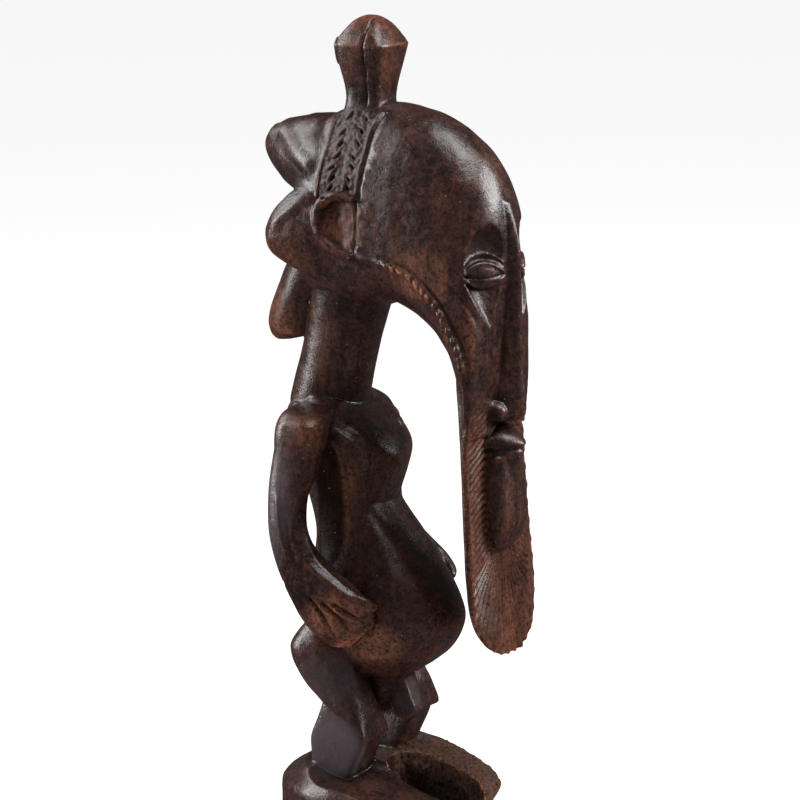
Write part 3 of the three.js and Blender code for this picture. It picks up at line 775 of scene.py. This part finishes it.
# Combed beard. Grooves cut with a fine gouge fan out below the chin and slant outwards along the
# sides of the blade. Its left edge is scalloped.
BLADE_TOP = 236
EDGE_TOP = 222
GROOVE_PITCH = 3
GROOVE_DEPTH = 0.7
FAN_UP = CHIN_UP + 6
FAN_RADIUS = 28  # where the grooves of the fan are one pitch apart
FAN_EDGE = 1.05  # radians from straight down where the fan turns into slanting grooves
COMBED_LINE_HEIGHT, COMBED_LINE_DEPTH = 0.9, 0.5
SCALLOP_PITCH = 8.6
SCALLOP_DEPTH = 1.9
blade_front = np.interp(up, (100, 118, 136, 172, 200, 228), (66.4, 64.7, 63, 60.7, 59.5, 59.5))
on_blade = (up < BLADE_TOP) & (forward > 50) & (-outward[:, 1] > 0.2)
on_blade &= forward < blade_front + 3
aside, below = np.abs(left - 1), FAN_UP - up
angle = np.arctan2(aside, below)
reach = np.hypot(aside, below)
past_edge = aside * math.cos(FAN_EDGE) - below * math.sin(FAN_EDGE)
fan = np.where(angle < FAN_EDGE, angle * FAN_RADIUS, FAN_EDGE * FAN_RADIUS + past_edge)
fan += 0.7 * uneven(9, 1.7)
grooves = np.cos(2 * np.pi * fan / GROOVE_PITCH)
depth = GROOVE_DEPTH * ramp(np.where(angle < FAN_EDGE, reach, 30), 3, 14) * ramp(-up, -BLADE_TOP, -216)
depth *= np.where(angle < FAN_EDGE, 1, 0.5) * ramp(left, -28, -23) * ramp(-left, -28, -22)
depth *= 0.75 + 0.5 * uneven(12, 4.4)
push[on_blade] += (grooves * depth)[on_blade]
near_edge = (up < EDGE_TOP) & (forward > 52) & (-outward[:, 1] > 0.1) & (left < -18)
wavy = -26.6 + 0.5 * uneven(11, 9.3) + 1.5 * ramp(-up, -160, -140)
combed_line = COMBED_LINE_HEIGHT * bump(left - wavy, 0.9) - COMBED_LINE_DEPTH * bump(left - wavy - 1.5, 1)
push[near_edge] += (combed_line * ramp(up, 128, 150) * ramp(-up, -EDGE_TOP, -214))[near_edge]
at_edge = (left > 12) & (up < EDGE_TOP) & (forward > 52)
at_edge &= np.abs(outward[:, 0]) + np.abs(outward[:, 2]) > 0.6
scallops = np.abs(np.sin(np.pi * (up + left * 0.6) / SCALLOP_PITCH)) ** 0.7
scallops = SCALLOP_DEPTH * (scallops - 0.8) * ramp(left, 16, 24) * ramp(-up, -EDGE_TOP, -206)
push[at_edge] += scallops[at_edge]

# Eyelids. They are shut, in the shape of an almond, each pair with a fine rim and a line where the
# lids meet, cut into the egg of wood left in its hollow, and a brow line lies over them.
EYE_LONG, EYE_TALL = 11.5, 5.4
LID_RIM_HEIGHT, LID_GROOVE_DEPTH = 0.9, 0.7
LID_LINE_DEPTH = 1.1
BROW_LINE_HEIGHT = 0.5
for side in SIDES:
    turn = side * EYE_TURN
    across = (left - side * EYE_ASIDE) * math.cos(turn) - (forward - EYE_FORWARD) * math.sin(turn)
    rise = up - EYE_UP + 1
    at_eye = (left * side > 3) & (np.abs(rise) < 30) & (np.abs(across) < 17) & (forward > 48)
    almond = EYE_TALL * (1 - (across / EYE_LONG) ** 2)
    from_rim = np.abs(rise) - almond
    in_reach = ramp(-np.abs(across), -EYE_LONG - 0.5, -EYE_LONG + 1.5)
    lids = LID_RIM_HEIGHT * bump(from_rim, 1.3) - LID_GROOVE_DEPTH * bump(from_rim - 1.7, 1.1)
    meeting = rise + 1.2 - 1.4 * (across / EYE_LONG) ** 2
    lids -= LID_LINE_DEPTH * bump(meeting, 0.9) * (from_rim < -0.4)
    brow = BROW_LINE_HEIGHT * bump(rise - almond - 4.2, 1.2) * (rise > 0)
    push[at_eye] += ((lids + brow) * in_reach)[at_eye]

# Fingers. They are parted by flutes that fan from the wrist, each drawn with one cut of the knife,
# and a shallow crease crosses the wrist.
FLUTE_DEPTH, FLUTE_RIM = 1.4, 0.25
WRIST_DEPTH = 0.35
WRIST = ((-40, 129), (-32, 131), (-24, 134), (-16, 136))
FLUTES = (
    ((-18, 128.2), (-13.5, 123), (-9.4, 117.3), (-5.2, 106)),
    ((-11.6, 126.6), (-6, 121.5), (-0.1, 115.8), (3.6, 109)),
    ((-5.8, 126), (1, 121.5), (8.5, 116.4), (12, 112.5)),
)
for side in SIDES:
    for flute in FLUTES:
        which, distance, along, _, length = near_line(side, flute, 4)
        hand = np.abs(left[which]) > 27
        fade = ramp(along, 0, 4) * ramp(-along, -length, -0.55 * length) * hand
        push[which] += (FLUTE_RIM * bump(distance - 2.4, 1.6) - FLUTE_DEPTH * bump(distance, 1.3)) * fade
    which, distance, along, _, length = near_line(side, WRIST, 4)
    push[which] -= WRIST_DEPTH * bump(distance, 2) * ramp(along, 0, 5) * ramp(-along, -length, -length + 5)

# Edges. The knife left soft ridges between flat faces, along the lobes of the hair, down the arms,
# the thighs and the chest. Each has a height, a half-width, the least distance from the figure's
# middle, and points forward and up.
EDGES = (
    (1.3, 6, 20, ((-49, 298), (-45.2, 301.2), (-39.5, 307.4), (-30.9, 314.3), (-22, 321))),
    (1.2, 6, 5, ((-60, 344), (-51.7, 342.7), (-44.9, 338.4), (-36.4, 333.3), (-25, 327))),
    (1.0, 2.6, 40, ((-33, 178), (-31.5, 164), (-28.5, 152), (-24.5, 140))),
    (
        1.1,
        2.6,
        36,
        ((-25, 168), (-23.5, 159), (-21, 150.5), (-15, 142.5), (-6, 136), (3, 130.5), (11, 125.5)),
    ),
    (-1.0, 2.6, 40, ((-29, 170), (-27.5, 157), (-24, 147), (-18, 139))),
    (0.8, 2.2, 26, ((-36.5, 95), (-29, 84.5), (-20, 75.9), (-9.1, 67.3), (-3, 63))),
    (
        1.2,
        3.4,
        14,
        ((-10.5, 207), (-8, 204), (-4.4, 199.5), (-0.5, 190.3), (-2.8, 178), (-4.6, 166), (-4.8, 161)),
    ),
    (0.7, 4.5, 10, ((-5, 165), (0, 157), (5.9, 148.9), (14.2, 135.7), (18, 127))),
)
for side in SIDES:
    for height, half_width, least_left, edge in EDGES:
        which, distance, along, _, length = near_line(side, edge, 7)
        fade = ramp(along, 0, 8) * ramp(-along, -length, -length + 8) * (np.abs(left[which]) > least_left)
        push[which] += height * bump(distance, half_width) * fade

# Crack. The wood has opened along its grain as it dried, down the right side of the finial from
# its top.
CRACK_DEPTH, CRACK_HALF_WIDTH = 1.6, 0.75
crack_at = FINIAL_FORWARD + 4 + 0.7 * np.array([noise.noise((0, 0, z / 7)) for z in up])
in_crack = (up > 356) & (left < 1)
opening = 0.5 + 0.5 * ramp(up, 356, 380)
crack = CRACK_DEPTH * bump(forward - crack_at, CRACK_HALF_WIDTH) * opening * ramp(up, 357, 362)
push[in_crack] -= crack[in_crack]

# Crust. Earth and oil poured over the figure have dried in lumps on the headband and on the left
# foot.
CRUST_LUMPS, CRUST_GRAINS = 0.55, 0.3


def on_left_foot(left, forward, up, lowest):
    """1 on the left foot above the lowest height and 0 elsewhere."""
    return ramp(left, 0, 6) * ramp(up, lowest, lowest + 4) * ramp(-up, -46, -38) * ramp(forward, -10, 4)


crust = 0.75 * within * on_band * (up < 357)
crust = np.maximum(crust, on_left_foot(left, forward, up, PLINTH_HEIGHT + 1))
push += crust * (CRUST_LUMPS * uneven(2.1, 5.7) + CRUST_GRAINS * uneven(0.95, 8.2))

figure.data.vertices.foreach_set("co", (skin + outward * push[:, None]).ravel())
figure.data.update()
PIECE_TRIANGLES = 194_000
finished("thinned", "DECIMATE", ratio=PIECE_TRIANGLES / (2 * len(figure.data.polygons)))

# Marks of use, and painted light and shade. The finish needs to know of each point how far it
# stands out as an edge, how shut in it is for painted shade and painted shadow, whether it has a
# crust, where hands have worn the oil off, where it is painted lighter for light, and where a grey
# sheen is painted for reflections of the floor and lamps.
ROUNDINGS = 14
EDGE_STANDS_OUT = 0.35
RAYS = 10
RAY_REACH = 16
RAY_START = 0.35
GOLDEN_ANGLE = 2.39996
mesh = figure.data
count = len(mesh.vertices)
spots, normals = points_and_normals(mesh)
ends = np.empty(len(mesh.edges) * 2, dtype=np.int32)
mesh.edges.foreach_get("vertices", ends)
first, second = ends.reshape(-1, 2).T
neighbours = np.bincount(first, minlength=count) + np.bincount(second, minlength=count)
rounded = spots.copy()
for _ in range(ROUNDINGS):
    for axis in range(3):
        sums = np.bincount(first, rounded[second, axis], count)
        sums += np.bincount(second, rounded[first, axis], count)
        rounded[:, axis] = sums / neighbours
standing_out = ((spots - rounded) * normals).sum(1)
mesh.calc_loop_triangles()
corners = np.empty(len(mesh.loop_triangles) * 3, dtype=np.int32)
mesh.loop_triangles.foreach_get("vertices", corners)
tree = BVHTree.FromPolygons(spots.tolist(), corners.reshape(-1, 3).tolist())
# Painted shade: how shut in each point is, from rays cast out of it, later darkens its colour and takes its
# sheen off.
painted_shade = np.zeros(count)
spiral = [(math.sqrt((k + 0.5) / RAYS), k * GOLDEN_ANGLE) for k in range(RAYS)]
for k in range(count):
    normal = Vector(normals[k])
    start = Vector(spots[k]) + normal * RAY_START
    aside = normal.orthogonal().normalized()
    other = normal.cross(aside)
    blocked = 0
    for radius, turn_angle in spiral:
        flat = aside * (radius * math.cos(turn_angle)) + other * (radius * math.sin(turn_angle))
        hit = tree.ray_cast(start, flat + normal * math.sqrt(1 - radius * radius), RAY_REACH)
        if hit[0] is not None:
            blocked += 1 - hit[3] / RAY_REACH
    painted_shade[k] = blocked / RAYS
at_left, at_forward, at_up = spots[:, 0], -spots[:, 1], spots[:, 2]
in_band = np.abs(at_forward - FINIAL_FORWARD) < 12
in_band &= (at_up > EAR_TOP) & (at_up < 358) & (np.abs(at_left) > 10)
left_foot = on_left_foot(at_left, at_forward, at_up, PLINTH_HEIGHT)
has_crust = np.maximum(0.5 * in_band, left_foot)


def patch(middle, half_sizes):
    """An egg-shaped part of the surface on each side, 1 in its middle and 0 outside."""
    offset = (np.stack((np.abs(at_left), at_forward, at_up), axis=1) - middle) / half_sizes
    return 1 - ramp(np.linalg.norm(offset, axis=1), 0.45, 1.1)


# Each part that hands have worn, and each painted lighter for light: its middle, its half sizes and amount.
HANDLED_AND_PAINTED_LIGHT = (
    ((30, -10, 304), (9, 18, 18), 0.7),
    ((30, 36, 284), (8, 26, 16), 0.75),
    ((29, 56, 255), (8, 12, 24), 0.75),
    ((42, -4, 118), (9, 24, 16), 0.85),
    ((30, 4, 102), (16, 26, 14), 0.75),
    ((18, -22, 240), (14, 14, 26), 0.4),
    # Painted light: the shoulder tops, the finial, the lower lobe of the hair and the wings of the hair are
    # painted lighter and warmer, as if lit from the left.
    ((40, -24, 204), (12, 14, 14), 0.5),
    ((0, -10, 384), (20, 20, 28), 0.6),
    ((8, -52, 256), (18, 18, 24), 0.55),
    ((28, -38, 292), (12, 18, 20), 0.4),
    ((18, -8, 160), (10, 14, 22), 0.35),
    ((22, -14, 184), (8, 12, 26), 0.7),
)
chin_front = np.interp(at_up, (100, 172), (68, 62.5))
handled_and_painted_light = 0.52 * ramp(-at_up, -232, -205) * (at_forward > 52) * (at_forward < chin_front)
for middle, half_sizes, amount in HANDLED_AND_PAINTED_LIGHT:
    handled_and_painted_light = np.maximum(handled_and_painted_light, amount * patch(middle, half_sizes))
handled_and_painted_light = np.maximum(handled_and_painted_light, 0.8 * left_foot) * np.where(at_forward > 50, ramp(at_left, -29.5, -26), 1)
# Painted reflection: a grey sheen is painted on the outer sides of the shins and thighs, on the loins and
# on the outer arms, for the white floor and the lamps seen in the wood.
outer_side = ramp(np.abs(at_left), 25, 29)
painted_sheen = 0.75 * patch((28, -12, 48), (18, 22, 27)) * outer_side
painted_sheen = np.maximum(painted_sheen, 0.45 * patch((30, -18, 82), (14, 28, 26)) * outer_side)
painted_sheen = np.maximum(painted_sheen, 0.5 * patch((0, 10, 68), (9, 10, 14)))
painted_sheen *= ramp(at_up, 32, 36) * (at_up < 104)
painted_sheen = np.maximum(painted_sheen, 0.55 * patch((45, -34, 168), (10, 12, 44)))
# Painted shadow: these patches, between the feet, in the armpits and on the inner sides of the thighs, are
# added to how shut in each point is, so the colour is painted darker there and the sheen is taken off.
deep = patch((0, 24, 20), (16, 26, 18))
deep = np.maximum(deep, 0.9 * patch((23, -22, 165), (10, 12, 40)))
deep = np.maximum(deep, 0.8 * patch((12, -14, 72), (13, 16, 22)))
painted_shade = np.maximum(painted_shade, deep)
for name, values in (
    ("painted_sheen", painted_sheen),
    ("standing_out", standing_out / EDGE_STANDS_OUT),
    ("painted_shade", painted_shade),
    ("crust", has_crust),
    ("handled_and_painted_light", handled_and_painted_light),
):
    layer = mesh.attributes.new(name, "FLOAT", "POINT")
    layer.data.foreach_set("value", np.ascontiguousarray(values, dtype=np.float32))
mesh.polygons.foreach_set("use_smooth", np.ones(len(mesh.polygons), dtype=bool))

figure.data.transform(Matrix.Scale(0.001, 4))
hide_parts("carved_figure")
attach(figure, "root")

# Wood. A dense dark hardwood, oiled and handled for generations: a satin skin, fine pores along
# the grain, warm brown where hands wore it, and near black with old oil elsewhere. Painted shade
# darkens it where it is shut in and in painted shadows, painted light makes some parts warmer and
# lighter, and a painted grey sheen stands for reflections on the legs and arms.
OLD_OIL = "#120c0c"
GRAIN_STRETCH = (1, 1, 0.14)
WRINKLE_DEPTH, DENT_DEPTH = 0.0004, 0.0012
wood = bpy.data.materials.new("oiled_hardwood")
wood.use_nodes = True
nodes, links = wood.node_tree.nodes, wood.node_tree.links
nodes.clear()


def linear(hex_colour):
    """An sRGB hex colour as linear red, green, blue and alpha."""
    parts = [int(hex_colour[k : k + 2], 16) / 255 for k in (1, 3, 5)]
    return [p / 12.92 if p <= 0.04045 else ((p + 0.055) / 1.055) ** 2.4 for p in parts] + [1]


def per_mm(millimetres):
    """The texture scale that gives a pattern features of this size."""
    return 1000 / millimetres


def add(kind, inputs=(), **settings):
    """A node of the wood, with its settings, and with its inputs set or linked."""
    node = nodes.new(kind)
    for key, value in settings.items():
        setattr(node, key, value)
    for key, value in dict(inputs).items():
        if isinstance(value, bpy.types.NodeSocket):
            links.new(value, node.inputs[key])
        else:
            node.inputs[key].default_value = value
    return node


# What the layers of the finish follow: the marks kept with the mesh, and noise with the size of
# its features in millimetres, its detail and its roughness. Real pores and wrinkles are finer,
# and are drawn as coarse as they need to be to show.
marks = {}
for name in ("standing_out", "painted_shade", "crust", "handled_and_painted_light", "painted_sheen"):
    marks[name] = add("ShaderNodeAttribute", attribute_name=name).outputs["Fac"]
coords = add("ShaderNodeTexCoord").outputs["Object"]
grain = add("ShaderNodeMapping", {"Vector": coords, "Scale": GRAIN_STRETCH}).outputs[0]
for name, vector, size, detail, roughness in (
    ("clouds", coords, 30, 6, 0.68),
    ("blotches", coords, 5, 7, 0.8),
    ("stains", coords, 1.7, 4, 0.75),
    ("warmth", grain, 7, 6, 0.75),
    ("pores", grain, 0.7, 2, 0.6),
    ("wrinkles", coords, 0.85, 2, 0.6),
    ("dents", coords, 5, 1, 0.5),
):
    pattern = {"Vector": vector, "Scale": per_mm(size), "Detail": detail, "Roughness": roughness}
    marks[name] = add("ShaderNodeTexNoise", pattern).outputs[0]
pattern = {"Vector": coords, "Scale": per_mm(5.5)}
marks["specks"] = add("ShaderNodeTexVoronoi", pattern, feature="F1").outputs["Distance"]

# How much of each layer there is: the mark that it follows, the range of the mark that counts,
# and the amounts at the two ends of that range.
for name, mark, low, high, at_low, at_high in (
    ("brown", "clouds", 0.36, 0.64, 0, 1),
    ("red_brown", "blotches", 0.45, 0.68, 0, 0.7),
    ("warm_grain", "warmth", 0.5, 0.74, 0.05, 0.35),
    # Painted light: where hands wore the wood and where it is painted lighter for light, the colour is
    # warmer and the edges lighter and more copper.
    ("warm_handled_and_painted_light", "handled_and_painted_light", 0, 1, 0, 0.75),
    ("warm_streaks", "warmth", 0.3, 0.62, 0.15, 1),
    ("hollow", "painted_shade", 0.15, 0.7, 0, 0.9),
    ("crease", "standing_out", -0.5, -2.4, 0, 0.75),
    ("worn_edge", "standing_out", 1.4, 3.4, 0, 0.5),
    ("worn_handled_and_painted_light", "handled_and_painted_light", 0, 0.6, 0.35, 1),
    ("dusty", "crust", 0.3, 1, 0, 0.6),
    ("copper_edge", "standing_out", 1.2, 3.4, 0, 0.7),
    ("copper_handled_and_painted_light", "handled_and_painted_light", 0.45, 0.7, 0, 1),
    ("stained", "stains", 0.55, 0.36, 0, 0.8),
    ("pore", "pores", 0.42, 0.3, 0, 0.7),
    ("painted_sheen_tint", "painted_sheen", 0, 1, 0, 0.85),
    ("specked", "specks", 0.07, 0.03, 0, 0.6),
    ("rough_oil", "blotches", 0.3, 0.7, 0.22, 0.38),
    ("rough_handled_and_painted_light", "handled_and_painted_light", 0.2, 1, 0, 0.2),
    ("rough_crust", "crust", 0.1, 1, 0, 0.25),
    ("sheen_open", "painted_shade", 0.06, 0.45, 0.5, 0.03),
    ("sheen_handled_and_painted_light", "handled_and_painted_light", 0.1, 0.8, 1, 0.45),
    ("sheen_crust", "crust", 0, 0.8, 1, 0.25),
    ("pore_depth", "pores", 0.28, 0.44, -0.12, 0),
):
    ends = {0: marks[mark], 1: low, 2: high, 3: at_low, 4: at_high}
    marks[name] = add("ShaderNodeMapRange", ends, interpolation_type="SMOOTHSTEP").outputs[0]
for name, one, operation, other in (
    ("warm", "warm_grain", "ADD", "warm_handled_and_painted_light"),
    ("warm", "warm", "MULTIPLY", "warm_streaks"),
    ("worn", "worn_edge", "MULTIPLY", "worn_handled_and_painted_light"),
    ("copper", "copper_edge", "MULTIPLY", "copper_handled_and_painted_light"),
    ("rough", "rough_oil", "ADD", "rough_handled_and_painted_light"),
    ("rough", "rough", "ADD", "rough_crust"),
    ("sheen", "sheen_open", "MULTIPLY", "sheen_handled_and_painted_light"),
    ("sheen", "sheen", "MULTIPLY", "sheen_crust"),
    ("height", "pore_depth", "ADD", "wrinkles"),
):
    marks[name] = add("ShaderNodeMath", {0: marks[one], 1: marks[other]}, operation=operation).outputs[0]

# The layers of colour, from the old oil outwards.
colour = linear(OLD_OIL)
for name, tint in (
    ("brown", "#301f1c"),
    ("red_brown", "#532a20"),
    ("warm", "#76452f"),
    # Painted shade: darker where each point is shut in and in the painted shadows.
    ("hollow", "#120c09"),
    # Darker in creases, in the colour of the old oil.
    ("crease", OLD_OIL),
    ("worn", "#80472f"),
    ("dusty", "#463d37"),
    ("copper", "#a86c4a"),
    ("stained", "#0d0908"),
    ("pore", "#080504"),
    # Painted reflection: a grey sheen over the legs, the loins and the outer arms.
    ("painted_sheen_tint", "#52484e"),
    ("specked", "#a98a68"),
):
    layers = {0: marks[name], 6: colour, 7: linear(tint)}
    colour = add("ShaderNodeMix", layers, data_type="RGBA").outputs[2]
fine = add("ShaderNodeBump", {"Height": marks["height"], "Distance": WRINKLE_DEPTH, "Strength": 0.4})
coarse = add(
    "ShaderNodeBump",
    {"Height": marks["dents"], "Distance": DENT_DEPTH, "Strength": 0.2, "Normal": fine.outputs[0]},
)
shader = add(
    "ShaderNodeBsdfPrincipled",
    {
        "Base Color": colour,
        "Roughness": marks["rough"],
        "Specular IOR Level": marks["sheen"],
        "Normal": coarse.outputs[0],
    },
)
add("ShaderNodeOutputMaterial", {"Surface": shader.outputs[0]})
figure.data.materials.clear()
figure.data.materials.append(wood)

# Floor and light. A wide sheet of matte white paper lies under the figure, and gives the eye an
# almost white ground without a shine. Soft boxes like a photographer's stand round and over it.
FLOOR_HALF_SIZE = 6
LIGHTS_AIM_UP = 0.22
floor_mesh = bpy.data.meshes.new("floor")
floor_form = bmesh.new()
bmesh.ops.create_grid(floor_form, x_segments=1, y_segments=1, size=FLOOR_HALF_SIZE)
floor_form.to_mesh(floor_mesh)
floor_form.free()
floor = bpy.data.objects.new("floor", floor_mesh)
bpy.context.collection.objects.link(floor)
floor.visible_glossy = False
paper = bpy.data.materials.new("white_paper")
paper.use_nodes = True
sheet = paper.node_tree.nodes["Principled BSDF"]
sheet.inputs["Base Color"].default_value = linear("#8c8c8c")
sheet.inputs["Roughness"].default_value = 0.9
sheet.inputs["Emission Color"].default_value = linear("#ffffff")
sheet.inputs["Emission Strength"].default_value = 0.9
floor.data.materials.append(paper)

world = bpy.data.worlds.new("studio")
world.use_nodes = True
world.node_tree.nodes["Background"].inputs["Color"].default_value = linear("#ffffff")
world.node_tree.nodes["Background"].inputs["Strength"].default_value = 0.07
bpy.context.scene.world = world
bpy.context.scene.view_settings.view_transform = "Standard"


def softbox(name, aside, back, up, wide, tall, power):
    """A soft box, placed from the middle of the figure as the camera sees it, in metres."""
    data = bpy.data.lights.new(name, "AREA")
    data.shape = "RECTANGLE"
    data.size, data.size_y = wide, tall
    data.energy = power
    light = bpy.data.objects.new(name, data)
    behind = Vector((-to_camera.x, -to_camera.y, 0)).normalized()
    target = Vector((0, 0, LIGHTS_AIM_UP))
    light.location = target + to_right * aside + behind * back + Vector((0, 0, up))
    light.rotation_euler = (light.location - target).to_track_quat("Z", "Y").to_euler()
    bpy.context.collection.objects.link(light)


softbox("left", -1.12, 0.06, 0.4, 0.3, 1.1, 18)
softbox("behind", -0.75, 0.6, 0.7, 0.4, 0.6, 4)
softbox("right", 1.0, -0.14, 0.53, 0.42, 0.6, 15)
softbox("top", 0.42, -0.3, 1.38, 0.8, 0.8, 20)
